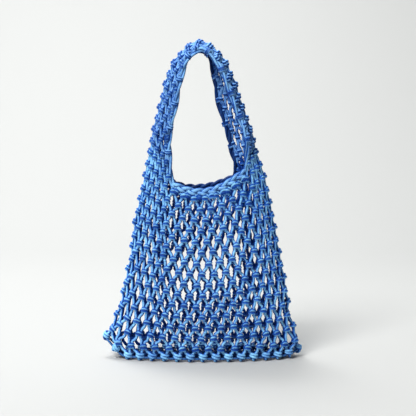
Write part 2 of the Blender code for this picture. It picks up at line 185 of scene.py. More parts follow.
class CordMesh:
    """Gathers the tubes of one piece, with their lengths and turns as UVs, and makes one object of them."""

    def __init__(self):
        self.points = []
        self.faces = []
        self.uvs = []
        self.count = 0

    def add(self, rings, closed=False, capped=()):
        """Tubes from rings of points. A closed one joins its ends, and a capped one has them filled."""
        cords, length, sides = rings.shape[:3]
        middles = rings.mean(axis=2)
        along = np.zeros((cords, length + 1))
        steps = np.linalg.norm(np.diff(middles, axis=1), axis=2)
        along[:, 1:length] = np.cumsum(steps, axis=1)
        along[:, length] = along[:, length - 1] + np.linalg.norm(middles[:, -1] - middles[:, 0], axis=1)
        index = self.count + np.arange(cords * length * sides).reshape(cords, length, sides)
        after = np.roll(index, -1, axis=1)
        last = length if closed else length - 1
        quads = np.stack((
            index, np.roll(index, -1, axis=2), np.roll(after, -1, axis=2), after,
        ), axis=-1)[:, :last]
        around = np.arange(sides)[None, None] / sides
        near = np.broadcast_to(along[:, :last, None], quads.shape[:3])
        far = np.broadcast_to(along[:, 1 : last + 1, None], quads.shape[:3])
        low = np.broadcast_to(around, quads.shape[:3])
        high = low + 1 / sides
        corners = ((near, low), (near, high), (far, high), (far, low))
        uvs = np.stack([np.stack(corner, axis=-1) for corner in corners], axis=-2)
        self.points.append(above_floor(rings).reshape(-1, 3))
        self.faces += quads.reshape(-1, 4).tolist()
        self.uvs.append(uvs.reshape(-1, 2))
        for end in capped:
            fan = index[:, end] if end else index[:, end, ::-1]
            self.faces += fan.tolist()
            self.uvs.append(np.zeros((cords * sides, 2)))
        self.count += cords * length * sides

    def make(self, name):
        mesh = bpy.data.meshes.new(name)
        mesh.from_pydata(np.concatenate(self.points) * MM, [], self.faces)
        layer = mesh.uv_layers.new(name="cord")
        layer.data.foreach_set("uv", np.concatenate(self.uvs).astype(np.float32).ravel())
        tidy = bmesh.new()
        tidy.from_mesh(mesh)
        bmesh.ops.remove_doubles(tidy, verts=tidy.verts, dist=1e-6)
        bmesh.ops.recalc_face_normals(tidy, faces=tidy.faces)
        tidy.to_mesh(mesh)
        tidy.free()
        mesh.shade_smooth()
        piece = bpy.data.objects.new(name, mesh)
        bpy.context.scene.collection.objects.link(piece)
        return piece


def cotton(name, blues, inner=0.0):
    """Knitted tubular cotton with slanted stitches, uneven dye and a soft fuzz.

    Its blues are the deep one, painted shade on the cord's inner side and flanks that shows most in the
    knots, the middle one, and the pale one, a painted highlight along its outer side. Its inner side gets
    this share of that painted highlight. Uneven wear pales it here and there.
    """
    deep, middle, pale = blues
    material = bpy.data.materials.new(name)
    material.use_nodes = True
    tree = material.node_tree
    nodes = tree.nodes
    links = tree.links
    shader = nodes["Principled BSDF"]
    shader.inputs["Roughness"].default_value = 0.6
    shader.inputs["Specular IOR Level"].default_value = 0.28
    shader.inputs["Specular Tint"].default_value = (0.45, 0.7, 1.0, 1.0)
    shader.inputs["Sheen Weight"].default_value = 0.05
    shader.inputs["Sheen Roughness"].default_value = 0.45
    shader.inputs["Sheen Tint"].default_value = (0.35, 0.6, 1.0, 1.0)

    def math_node(operation, first, second=None):
        node = nodes.new("ShaderNodeMath")
        node.operation = operation
        for socket, value in zip(node.inputs, (first, second)):
            if isinstance(value, (int, float)):
                socket.default_value = value
            elif value is not None:
                links.new(value, socket)
        return node.outputs[0]

    def noise(scale, detail, roughness):
        node = nodes.new("ShaderNodeTexNoise")
        node.inputs["Scale"].default_value = scale
        node.inputs["Detail"].default_value = detail
        node.inputs["Roughness"].default_value = roughness
        links.new(place.outputs["Object"], node.inputs["Vector"])
        return node.outputs["Fac"]

    def mixed(factor, first, second):
        node = nodes.new("ShaderNodeMix")
        node.data_type = "RGBA"
        links.new(factor, node.inputs["Factor"])
        for socket, value in ((node.inputs["A"], first), (node.inputs["B"], second)):
            if isinstance(value, tuple):
                socket.default_value = (*value, 1.0)
            else:
                links.new(value, socket)
        return node.outputs["Result"]

    def ramp(factor, low, high):
        node = nodes.new("ShaderNodeMapRange")
        node.inputs["From Min"].default_value = low
        node.inputs["From Max"].default_value = high
        links.new(factor, node.inputs["Value"])
        return node.outputs["Result"]

    place = nodes.new("ShaderNodeTexCoord")
    uv = nodes.new("ShaderNodeUVMap")
    uv.uv_map = "cord"
    split = nodes.new("ShaderNodeSeparateXYZ")
    links.new(uv.outputs["UV"], split.inputs[0])
    around = math_node("FRACT", math_node("MULTIPLY", split.outputs["Y"], WALES))
    from_wale = math_node("ABSOLUTE", math_node("SUBTRACT", around, 0.5))
    slanted = math_node("ADD", math_node("DIVIDE", split.outputs["X"], STITCH_PITCH), from_wale)
    wave = math_node("SINE", math_node("MULTIPLY", slanted, 2 * math.pi))
    rib = math_node("COSINE", math_node("MULTIPLY", around, 2 * math.pi))
    stitches = math_node("SUBTRACT", math_node("MULTIPLY", wave, 0.5), math_node("MULTIPLY", rib, 0.5))
    fibres = noise(FIBRE_SCALE, 3.0, 0.7)
    height = math_node("ADD", math_node("MULTIPLY", stitches, 0.5), math_node("MULTIPLY", fibres, 0.6))

    # Painted light round the cord: pale as a painted highlight on its outer side, deep as painted shade on
    # its other sides, with the given share of the highlight on its inner side. The dye and wear noise are
    # its own uneven tone.
    facing = math_node("COSINE", math_node("MULTIPLY", split.outputs["Y"], 2 * math.pi))
    painted_light_side = math_node("MAXIMUM", facing, math_node("MULTIPLY", facing, -inner))
    dye = math_node("MULTIPLY", math_node("SUBTRACT", noise(DYE_SCALE, 4.0, 0.6), 0.5), UNEVEN_DYE)
    worn = math_node("MULTIPLY", math_node("SUBTRACT", noise(WEAR_SCALE, 3.0, 0.65), 0.5), UNEVEN_WEAR)
    painted_light_dye_and_wear = math_node("ADD", math_node("ADD", painted_light_side, dye), worn)
    # The stitches add a little painted shade in the gaps between them.
    tone_with_painted_light = math_node("ADD", painted_light_dye_and_wear, math_node("MULTIPLY", stitches, STITCH_SHADE))
    body = mixed(ramp(tone_with_painted_light, -0.15, 0.75), deep, middle)
    links.new(mixed(ramp(tone_with_painted_light, 0.55, 1.2), body, pale), shader.inputs["Base Color"])

    bump = nodes.new("ShaderNodeBump")
    bump.inputs["Strength"].default_value = 0.5
    bump.inputs["Distance"].default_value = 0.35 * MM
    links.new(height, bump.inputs["Height"])
    links.new(bump.outputs["Normal"], shader.inputs["Normal"])
    return material


def dress(piece, material, slot, *nodes):
    piece.data.materials.clear()
    piece.data.materials.append(material)
    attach(piece, "root")
    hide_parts(*nodes)


base_columns = np.linspace(0, COLUMNS, BASE_CORD_POINTS, endpoint=False)
base_line = np.array([wall_point(column, 0) for column in base_columns])
base_outs = np.array([wall_frame(column, 0)[3] for column in base_columns])
base_ways = unit(np.roll(base_line, -1, axis=0) - np.roll(base_line, 1, axis=0))
base_beside = np.cross(base_ways, base_outs)
ring_angles = np.arange(CORD_SIDES) * 2 * math.pi / CORD_SIDES
base_rings = base_line[:, None] + BASE_CORD_RADIUS * (
    np.cos(ring_angles)[None, :, None] * base_outs[:, None]
    + np.sin(ring_angles)[None, :, None] * base_beside[:, None]
)
base_mesh = CordMesh()
base_mesh.add(base_rings[None], closed=True)
base_cord = base_mesh.make("base_cord_cotton")
shaded_base_cotton = cotton("base_cord_cotton", BASE_CORD_SHADED_BLUES)
dress(base_cord, shaded_base_cotton, "base_cord", "base_cord")


# The wall of the bag
# A diamond net of the same cord, knotted row by row from the base cord up. Each knot is a sheet bend: the
# bend of the strands from above is gripped by two turns of the strands that leave below it. The top strands
# run on into the strap, so the strap's own surface and knots are laid out here too.
CORD_RADIUS = 2.7
CURVE_STEPS = 10
WALL_BLUES = ((0.002, 0.022, 0.175), (0.010, 0.112, 0.560), (0.310, 0.700, 1.000))
STRAP_COLUMNS = 8
STRAP_ROWS = 22
RIM_ROW = 15.6
NOMINAL_PITCH = 15.0
NARROWEST_KNOT = 0.60
WIDEST_KNOT = 1.15
KNOT_RADIUS = 2.5
STRAND_BOW = 0.6
STRAND_BULGE = 0.7
KNOT_SHIFT = 0.75
KNOT_TURN = math.radians(7)
HELD_KNOT_PLAY = 0.4
STRAP_KNOT_SIZE = 0.9
FOLD_FADE_ROWS = 3.0
RIM_KNOT_DROP = 8.5

# Sections across the strap, from the left leg over the top to the right leg: x and z of the middle of the
# chord between its edges, half of that chord, how deep the channel is, and how far its back turns to the
# front, in degrees
STRAP_SECTIONS = np.array((
    (-61.6, 353, 24, 16, 18),
    (-49.5, 416, 24, 13, 15),
    (-37.0, 463, 22, 12, 10),
    (-24.0, 489, 19, 8.5, 5),
    (-3.0, 503, 18, 8, 0),
    (18.0, 489, 19, 9, -8),
    (30.0, 459, 21, 15, -20),
    (41.5, 416, 24, 18, -28),
    (61.5, 353, 27, 18, -30),
), dtype=float)

# How the strap's columns are gathered: column, share of the way to the back edge, and depth folded inward
GATHERED_COLUMNS = np.array((
    (0, 0.0, 0.0),
    (1, 0.02, 3.5),
    (2, 0.18, 2.5),
    (3, 0.34, 0.0),
    (4, 0.5, 2.5),
    (5, 0.66, 0.0),
    (6, 0.82, 2.5),
    (7, 0.98, 3.5),
    (8, 1.0, 0.0),
))
gathered_columns, gathered_shares, gathered_depths = GATHERED_COLUMNS.T

# The two cords of a knot, as points across, up and outward from its middle: the bend of the upper strands,
# and the turn of the lower ones, which comes up on the left and crosses twice in front, high and then low
UPPER_BEND = (
    (-2.4, 5.8, 0.1), (-2.1, 2.8, 0.5), (-1.5, -0.4, 0.4), (0.0, -1.7, 0.3),
    (1.5, -0.4, 0.4), (2.1, 2.8, 0.5), (2.4, 5.8, 0.1),
)
LOWER_TURN = (
    (-2.7, -6.3, 0.2), (-3.1, -3.0, 0.9), (-3.0, 0.3, 1.8), (-1.3, 2.4, 3.1), (1.5, 2.2, 3.1),
    (3.3, 1.2, 1.0), (2.4, 0.5, -1.9), (-1.0, 0.0, -2.7), (-3.7, -0.7, -0.9), (-2.9, -1.5, 2.6),
    (0.0, -1.9, 4.1), (2.6, -2.3, 2.8), (3.3, -3.6, 0.8), (2.7, -6.3, -0.1),
)
HALF_BEND_END = (2.2, 3.4, -0.8)
HELD_LEG = (2.0, RIM_KNOT_DROP + 0.5, 0.0)
UPPER_STEPS = (3, 3, 2, 2, 2, 2, 3, 3)
LOWER_STEPS = (3, 2, 2, 3, 2, 2, 2, 2, 2, 2, 3, 3, 2, 2, 3)
LOWER_TURNING = (0.38, 0.6)
LOWER_SWELL = (1.0, 1.0, 1.0, 1.1, 1.1, 1.05, 0.9, 0.9, 0.9, 1.05, 1.15, 1.15, 1.05, 1.0)


def smooth_paths(controls, first_ways, last_ways, steps):
    """Smooth lines through rows of control points, with this many steps between each two points."""
    chords = np.diff(controls, axis=1)
    spans = np.linalg.norm(chords, axis=2, keepdims=True)
    ways = chords / spans
    inner = (ways[:, :-1] * spans[:, 1:] + ways[:, 1:] * spans[:, :-1]) / (spans[:, :-1] + spans[:, 1:])
    slopes = np.concatenate((first_ways[:, None], inner, last_ways[:, None]), axis=1)
    stretches = []
    for index, count in enumerate(steps):
        t = (np.arange(count) / count)[None, :, None]
        span = spans[:, index, None]
        stretches.append(
            (2 * t**3 - 3 * t**2 + 1) * controls[:, index, None]
            + (t**3 - 2 * t**2 + t) * span * slopes[:, index, None]
            + (3 * t**2 - 2 * t**3) * controls[:, index + 1, None]
            + (t**3 - t**2) * span * slopes[:, index + 1, None]
        )
    stretches.append(controls[:, -1:])
    return np.concatenate(stretches, axis=1)


def square_to(ways, directions):
    return unit(directions - ways * (directions * ways).sum(-1, keepdims=True))


def carried_normals(paths, first_sides, last_sides, turning):
    """Directions square to each path, from the first sides to the last ones.

    They turn to the last ones between the two shares of the path that turning gives.
    """
    ways = unit(np.gradient(paths, axis=1))
    normals = [square_to(ways[:, 0], first_sides)]
    for index in range(1, paths.shape[1]):
        normals.append(square_to(ways[:, index], normals[-1]))
    normals = np.stack(normals, axis=1)
    beside = np.cross(ways, normals)
    turn = np.arctan2((last_sides * beside[:, -1]).sum(1), (last_sides * normals[:, -1]).sum(1))
    turned = np.interp(np.linspace(0, 1, paths.shape[1]), turning, (0, 1))
    turns = turn[:, None, None] * turned[None, :, None]
    return np.cos(turns) * normals + np.sin(turns) * beside


def tube_rings(paths, normals, radii, sides=CORD_SIDES):
    """Rings of points round each path, the first point of each on the side of the normals."""
    beside = np.cross(unit(np.gradient(paths, axis=1)), normals)
    angles = np.arange(sides)[:, None] * 2 * math.pi / sides
    spokes = np.cos(angles) * normals[:, :, None] + np.sin(angles) * beside[:, :, None]
    return paths[:, :, None] + np.broadcast_to(radii, paths.shape[:2])[:, :, None, None] * spokes


def smooth_curve(points, steps=CURVE_STEPS):
    points = np.asarray(points)
    slopes = np.gradient(points, lengths_along(points), axis=0)
    return smooth_paths(points[None], slopes[None, 0], slopes[None, -1], (steps,) * (len(points) - 1))[0]


def strap_section_points(share):
    """The point at this share of the way from front edge to back edge, in each section of the strap."""
    middles = np.column_stack((STRAP_SECTIONS[:, 0], np.zeros(len(STRAP_SECTIONS)), STRAP_SECTIONS[:, 1]))
    tangents = unit(np.gradient(middles, lengths_along(middles), axis=0))
    front = np.array((0.0, -1.0, 0.0))
    points = []
    for middle, tangent, (half_chord, depth, turn) in zip(middles, tangents, STRAP_SECTIONS[:, 2:]):
        outward = np.array((-tangent[2], 0.0, tangent[0]))
        turn = math.radians(turn)
        ridge = math.cos(turn) * outward + math.sin(turn) * front
        to_front = math.cos(turn) * front - math.sin(turn) * outward
        along_chord, in_depth = arc_point(share, half_chord, depth, 2)
        points.append(middle - along_chord * to_front - in_depth * ridge)
    return points


strap_curves = {}


def strap_point(column, row):
    """Column 0 is the front edge and -8 the back edge. The rows run over the top, from left to right."""
    column = round(float(column), 4)
    if column not in strap_curves:
        rows_below = (ROWS - 3, ROWS - 1.5, ROWS)
        left = [wall_point(column, below) for below in rows_below]
        right = [wall_point(RIM_COLUMNS - column, below) for below in reversed(rows_below)]
        share = np.interp(-column, gathered_columns, gathered_shares)
        curve = smooth_curve(left + strap_section_points(share) + right)
        along = lengths_along(curve)
        in_wall = CURVE_STEPS * (len(rows_below) - 1)
        strap_curves[column] = (curve, along - along[in_wall], along[-1 - in_wall] - along[in_wall])
    curve, along, length = strap_curves[column]
    at = length * row / STRAP_ROWS
    return np.array([np.interp(at, along, curve[:, axis]) for axis in range(3)])


def knot_frame(surface, column, row, step=0.15):
    """Place, direction square to the column, direction up the column and outward direction."""
    lowest, highest = (-STRAP_COLUMNS, 0) if surface is strap_point else (-math.inf, math.inf)
    inside = min(max(column, lowest + step), highest - step)
    across = surface(inside + step, row) - surface(inside - step, row)
    up = unit(surface(column, row + step) - surface(column, row - step))
    out = unit(np.cross(across, up))
    return surface(column, row), np.cross(up, out), up, out


def at_wall(column, row):
    return ("wall", column % COLUMNS, row)


def at_strap(column, row):
    """A place on the strap, or the wall's own knot where the strap starts or ends."""
    if row == 0:
        return at_wall(column, ROWS)
    if row == STRAP_ROWS:
        return at_wall(RIM_COLUMNS - column, ROWS)
    return ("strap", column, row)


def on_rim(key):
    return key[0] == "wall" and key[2] == ROWS and 0 < key[1] % (COLUMNS // 2) < RIM_COLUMNS


def neighbours(key):
    """The knots at the upper left, upper right, lower left and lower right, or None at an edge."""
    surface, column, row = key
    if surface == "strap":
        found = [(column + aside, row + rise) for rise in (1, -1) for aside in (-0.5, 0.5)]
        return [at_strap(*place) if -STRAP_COLUMNS <= place[0] <= 0 else None for place in found]
    upper = [None, None]
    if row < ROWS:
        upper = [at_wall(column - 0.5, row + 1), at_wall(column + 0.5, row + 1)]
    elif not on_rim(key):
        on_right = 0 < column <= COLUMNS / 2
        first, facing, strap_row = (RIM_COLUMNS, -1, STRAP_ROWS - 1) if on_right else (COLUMNS, 1, 1)
        for side, aside in enumerate((-0.5, 0.5)):
            place = facing * ((column or COLUMNS) + aside - first)
            if -STRAP_COLUMNS <= place <= 0:
                upper[side] = at_strap(place, strap_row)
    lower = [None, None] if row == 0 else [at_wall(column - 0.5, row - 1), at_wall(column + 0.5, row - 1)]
    return upper + lower


def fold_of_strap(column, row):
    """How far inward a knot of the gathered strap lies."""
    fade = min(1.0, row / FOLD_FADE_ROWS, (STRAP_ROWS - row) / FOLD_FADE_ROWS)
    return fade * np.interp(-column, gathered_columns, gathered_depths)


knots = {}


def knot_at(key):
    """A knot's place, its three directions and its width, each a little different from its neighbours'."""
    if key not in knots:
        surface, column, row = key
        chance = random.Random(f"{surface} {column:g} {row:g}")
        shift = [chance.uniform(-KNOT_SHIFT, KNOT_SHIFT) for _ in range(3)]
        turn = chance.uniform(-KNOT_TURN, KNOT_TURN)
        if surface == "strap":
            place, across, up, out = knot_frame(strap_point, column, row)
            low, high = max(column - 0.5, -STRAP_COLUMNS), min(column + 0.5, 0)
            pitch = across.dot(strap_point(high, row) - strap_point(low, row)) / (high - low)
            place = place - fold_of_strap(column, row) * out
        elif row == 0 or on_rim(key):
            place, across, up, out = wall_frame(column, RIM_ROW if row else 0)
            pitch = across.dot(wall_point(column + 0.5, row) - wall_point(column - 0.5, row))
            shift = [HELD_KNOT_PLAY * shift[0], 0.0, 0.0]
            turn *= HELD_KNOT_PLAY
        else:
            place, across, up, out = knot_frame(wall_point, column, row)
            pitch = across.dot(wall_point(column + 0.5, row) - wall_point(column - 0.5, row))
        width = min(max(pitch / NOMINAL_PITCH, NARROWEST_KNOT), WIDEST_KNOT)
        place = place + shift[0] * width * across + shift[1] * up + 0.5 * shift[2] * out
        across, up = (
            math.cos(turn) * across + math.sin(turn) * up, math.cos(turn) * up - math.sin(turn) * across,
        )
        if on_rim(key):
            place = place - RIM_KNOT_DROP * up
        knots[key] = (place, across, up, out, width)
    return knots[key]


strand_middles = {}


def middle_between(key, other):
    """Where two knots' cords meet: the middle of the strand, its direction from the first, and outward."""
    pair = frozenset((key, other))
    if pair not in strand_middles:
        start, end = knot_at(key), knot_at(other)
        chance = random.Random(" ".join(sorted(map(str, pair))))
        out = unit(start[3] + end[3])
        flat = (start[0] + end[0]) / 2
        surface = wall_point if key[0] == other[0] == "wall" else strap_point
        if key[0] == other[0]:
            apart = (other[1] - key[1] + COLUMNS / 2) % COLUMNS - COLUMNS / 2
            between = surface(key[1] + apart / 2, (key[2] + other[2]) / 2)
            bulge = out.dot(between - (surface(*key[1:]) + surface(*other[1:])) / 2)
        else:
            bulge = 0.0
        middle = flat + out * (bulge * STRAND_BULGE + chance.uniform(-STRAND_BOW, STRAND_BOW))
        strand_middles[pair] = (key, middle, unit(end[0] - start[0]), out)
    first, middle, way, out = strand_middles[pair]
    return middle, way if first == key else -way, out


def placed(key, points):
    """Points of a knot's own cords, in the bag's frame."""
    place, across, up, out, width = knot_at(key)
    size = STRAP_KNOT_SIZE if key[0] == "strap" else 1.0
    return [place + x * width * size * across + y * up + z * size * out for x, y, z in points]


class CordBatch:
    """Cords with the same number of control points, kept until they are made together."""

    def __init__(self, steps, radii, capped=(), turning=(0.5, 0.9)):
        self.steps = steps
        self.radii = radii
        self.capped = capped
        self.turning = turning
        self.controls = []
        self.ways = ([], [])
        self.sides = ([], [])

    def add(self, controls, ways, sides):
        self.controls.append(controls)
        for end in (0, 1):
            self.ways[end].append(ways[end])
            self.sides[end].append(sides[end])

    def into(self, cord_mesh):
        if not self.controls:
            return
        controls = np.array(self.controls)
        paths = smooth_paths(controls, np.array(self.ways[0]), np.array(self.ways[1]), self.steps)
        stations = np.concatenate(([0], np.cumsum(self.steps)))
        radii = np.interp(np.arange(stations[-1] + 1), stations, self.radii)
        normals = carried_normals(paths, np.array(self.sides[0]), np.array(self.sides[1]), self.turning)
        cord_mesh.add(tube_rings(paths, normals, radii[None]), capped=self.capped)


def radii_between(ends, count):
    """A cord's radius at its control points: full in the strands, drawn in by the knot."""
    return [ends[0]] + [KNOT_RADIUS] * count + [ends[1]]


def turn_radii(end):
    """The same for the lower turn, which swells in front where nothing holds it in."""
    return [end] + [KNOT_RADIUS * swell for swell in LOWER_SWELL] + [end]


def knotted(cord_mesh, keys):
    """The knots at these places, each with its halves of the strands round it."""
    bends = CordBatch(UPPER_STEPS, radii_between((CORD_RADIUS,) * 2, len(UPPER_BEND)))
    turns = CordBatch(LOWER_STEPS, turn_radii(CORD_RADIUS), turning=LOWER_TURNING)
    half_bends = CordBatch(UPPER_STEPS[:-1], radii_between((CORD_RADIUS, KNOT_RADIUS), 6), capped=(-1,))
    held_bends = CordBatch(UPPER_STEPS, radii_between((KNOT_RADIUS,) * 2, len(UPPER_BEND)), capped=(0, -1))
    for key in keys:
        upper_left, upper_right, lower_left, lower_right = neighbours(key)
        _, _, up, out, _ = knot_at(key)
        if lower_left and lower_right:
            start, start_way, start_out = middle_between(key, lower_left)
            end, end_way, end_out = middle_between(key, lower_right)
            controls = [start, *placed(key, LOWER_TURN), end]
            turns.add(controls, (-start_way, end_way), (start_out, end_out))
        if upper_left and upper_right:
            start, start_way, start_out = middle_between(key, upper_left)
            end, end_way, end_out = middle_between(key, upper_right)
            controls = [start, *placed(key, UPPER_BEND), end]
            bends.add(controls, (-start_way, end_way), (start_out, end_out))
        elif upper_left or upper_right:
            start, start_way, start_out = middle_between(key, upper_left or upper_right)
            mirror = 1 if upper_left else -1
            inner = [(x * mirror, y, z) for x, y, z in UPPER_BEND[:-1]]
            controls = [start, *placed(key, inner)]
            controls += placed(key, [(HALF_BEND_END[0] * mirror, *HALF_BEND_END[1:])])
            half_bends.add(controls, (-start_way, up), (start_out, out))
        elif on_rim(key):
            legs = placed(key, [(-HELD_LEG[0], *HELD_LEG[1:]), HELD_LEG])
            controls = [legs[0], *placed(key, UPPER_BEND), legs[1]]
            held_bends.add(controls, (-up, up), (out, out))
    for batch in (bends, turns, half_bends, held_bends):
        batch.into(cord_mesh)


def wall_keys(first, last):
    """The knots of the wall from one column up to another, without those on the base cord."""
    keys = []
    for row in range(1, ROWS + 1):
        start = first + (0.5 if row % 2 else 0)
        keys += [at_wall(column, row) for column in np.arange(start, last, 1.0)]
    return keys


# The joining knots hold the lowest strands to the base cord, each with a turn round it and two bands above
JOIN_LOOP = (
    (-2.9, 8.0, 0.3), (-2.5, 4.6, 1.6), (-1.7, 1.0, 3.5), (-1.0, -2.4, 2.9), (0.0, -3.7, 0.0),
    (1.0, -2.2, -2.9), (1.8, 1.2, -3.3), (2.5, 4.8, -0.6), (2.9, 8.0, 0.2),
)
JOIN_STEPS = (3, 2, 2, 2, 2, 2, 2, 2, 2, 3)
JOIN_BAND = (
    (-1.0, 1.6, -3.0), (2.6, 1.4, -2.6), (4.2, 1.3, 0.6), (1.4, 2.0, 4.7), (-2.6, 3.3, 4.4),
    (-4.2, 4.2, 0.2), (-1.6, 4.6, -3.2), (2.2, 4.4, -2.8), (4.3, 4.5, 0.8), (1.4, 5.8, 4.6),
    (-2.4, 7.2, 3.6), (-3.8, 7.3, 0.0), (-1.4, 6.6, -3.0),
)
JOIN_BAND_RADIUS = 2.7
JOIN_BAND_STEPS = (2, 2, 3, 3, 2, 2, 2, 2, 3, 3, 2, 2)


def joined(cord_mesh, keys):
    loops = CordBatch(JOIN_STEPS, radii_between((CORD_RADIUS,) * 2, len(JOIN_LOOP)))
    band_radii = [KNOT_RADIUS] + [JOIN_BAND_RADIUS] * (len(JOIN_BAND) - 2) + [KNOT_RADIUS]
    bands = CordBatch(JOIN_BAND_STEPS, band_radii, capped=(0, -1))
    for key in keys:
        upper_left, upper_right, _, _ = neighbours(key)
        start, start_way, start_out = middle_between(key, upper_left)
        end, end_way, end_out = middle_between(key, upper_right)
        loops.add([start, *placed(key, JOIN_LOOP), end], (-start_way, end_way), (start_out, end_out))
        band = placed(key, JOIN_BAND)
        ways = (unit(band[1] - band[0]), unit(band[-1] - band[-2]))
        out = knot_at(key)[3]
        bands.add(band, ways, (-out, -out))
    loops.into(cord_mesh)
    bands.into(cord_mesh)


wall_cotton = cotton("wall_cotton", WALL_BLUES)
for side, first_column in (("front", -1), ("right", 7), ("back", 15), ("left", 23)):
    net_mesh = CordMesh()
    joined(net_mesh, [at_wall(column, 0) for column in range(first_column, first_column + COLUMNS // 4)])
    knotted(net_mesh, wall_keys(first_column, first_column + COLUMNS // 4))
    dress(net_mesh.make(f"wall_net_{side}"), wall_cotton, "net_wall", f"net_{side}_low", f"net_{side}_high")


# The strap
# The net of the two ends of the mouth runs on into one strap over the shoulder, knotted from the left leg
# over the top to the right leg, and it curls in along both edges like a channel.
# The strap's blues are deeper than the wall's, a painted shade because the strap faces the lamp more, and
# its cords carry a painted highlight on their inner side as well as on their outer side.
STRAP_SHADED_BLUES = ((0.002, 0.019, 0.150), (0.010, 0.088, 0.420), (0.220, 0.470, 0.820))
STRAP_INNER_PAINTED_HIGHLIGHT = 0.9

# The edge knots are taken twice round the edge cord: points for the front edge, mirrored at the back one
EDGE_TURNS = (
    (-2.4, 5.2, 0.2), (-1.4, 2.7, 1.6), (2.0, 2.1, 3.6), (5.1, 1.6, 1.2), (4.4, 0.9, -2.4),
    (1.0, 0.3, -3.0), (-2.1, -0.2, 0.2), (0.6, -1.0, 3.4), (4.4, -1.6, 2.8), (5.1, -2.2, -0.6),
    (3.0, -2.8, -3.0), (-1.0, -3.3, -2.0), (-2.4, -5.4, -0.1),
)
EDGE_STEPS = (3, 2, 2, 3, 2, 2, 2, 2, 3, 2, 3, 2, 2, 3)


def edge_knotted(cord_mesh, keys):
    turns = CordBatch(EDGE_STEPS, radii_between((CORD_RADIUS,) * 2, len(EDGE_TURNS)))
    for key in keys:
        upper_left, upper_right, lower_left, lower_right = neighbours(key)
        mirror = 1 if upper_left else -1
        place, across, up, out, _ = knot_at(key)
        start, start_way, start_out = middle_between(key, upper_left or upper_right)
        end, end_way, end_out = middle_between(key, lower_left or lower_right)
        inner = [place + x * mirror * across + y * up + z * out for x, y, z in EDGE_TURNS]
        turns.add([start, *inner, end], (-start_way, end_way), (start_out, end_out))
    turns.into(cord_mesh)


strap_mesh = CordMesh()
strap_keys = []
edge_keys = []
for row in range(1, STRAP_ROWS):
    for column in np.arange(0, -STRAP_COLUMNS - 0.1, -1.0) - (0.5 if row % 2 else 0):
        if column in (0, -STRAP_COLUMNS):
            edge_keys.append(at_strap(column, row))
        elif column > -STRAP_COLUMNS:
            strap_keys.append(at_strap(column, row))
knotted(strap_mesh, strap_keys)
edge_knotted(strap_mesh, edge_keys)
strap_cotton = cotton("strap_cotton", STRAP_SHADED_BLUES, STRAP_INNER_PAINTED_HIGHLIGHT)
dress(strap_mesh.make("strap_net"), strap_cotton, "net_strap", "net_strap")


# The edge cords
# One for the front and one for the back. Along the mouth three fat cords are plaited into a chain edging
# that holds the net's top knots, and two of them run on, lightly twisted, as the edge of the strap.
EDGE_CORD_RADIUS = 3.0
EDGE_GAP = 0.3
PLAIT_CORD_RADIUS = 3.0
PLAIT_REACH = 3.6
PLAIT_DEPTH = 2.7
PLAIT_PERIOD = 50.0
PLAIT_SWELL = 0.14
STRAP_PAIR_REACH = 2.1
STRAP_PAIR_PERIOD = 95.0
STRAP_CORD_RADIUS = 2.5
PLAIT_FADE = 14.0
EDGE_SAMPLE_STEP = 1.6
RIM_GUIDE_COLUMNS = (0.45, 1.5, 2.5, 3.5, 4.5, 5.5, 6.5, 7.55)
STRAP_GUIDE_MARGIN = 0.55
GUIDE_STEPS = 8
GUIDE_LAP = 3
LEAST_PLAIT_SHOWN = 0.05
EDGE_FRONT_BLUES = ((0.002, 0.021, 0.160), (0.011, 0.100, 0.470), (0.270, 0.580, 0.940))
# The back edge cord's blues are deeper than the front's: painted shade, as it lies in shadow.
EDGE_BACK_SHADED_BLUES = ((0.002, 0.014, 0.095), (0.009, 0.062, 0.260), (0.070, 0.200, 0.500))


def edge_guides(front):
    """Points round one half of the mouth and back along the strap's edge, with directions up and out."""
    first = 0 if front else COLUMNS // 2
    edge = 0 if front else -STRAP_COLUMNS
    away = 1 if front else -1
    guides = []
    for column in RIM_GUIDE_COLUMNS:
        place, _, up, out = wall_frame(first + column, RIM_ROW)
        guides.append((place, up, out))
    rows = np.linspace(STRAP_GUIDE_MARGIN, STRAP_ROWS - STRAP_GUIDE_MARGIN, STRAP_ROWS)
    for row in rows[::-1] if front else rows:
        place, across, _, out = knot_frame(strap_point, edge, row)
        guides.append((place + away * across * (EDGE_CORD_RADIUS + EDGE_GAP), away * across, out))
    return guides


def cord_rings(path, outs, radii):
    normals = square_to(unit(np.gradient(path, axis=0)), outs)
    return tube_rings(path[None], normals[None], radii[None], sides=9)


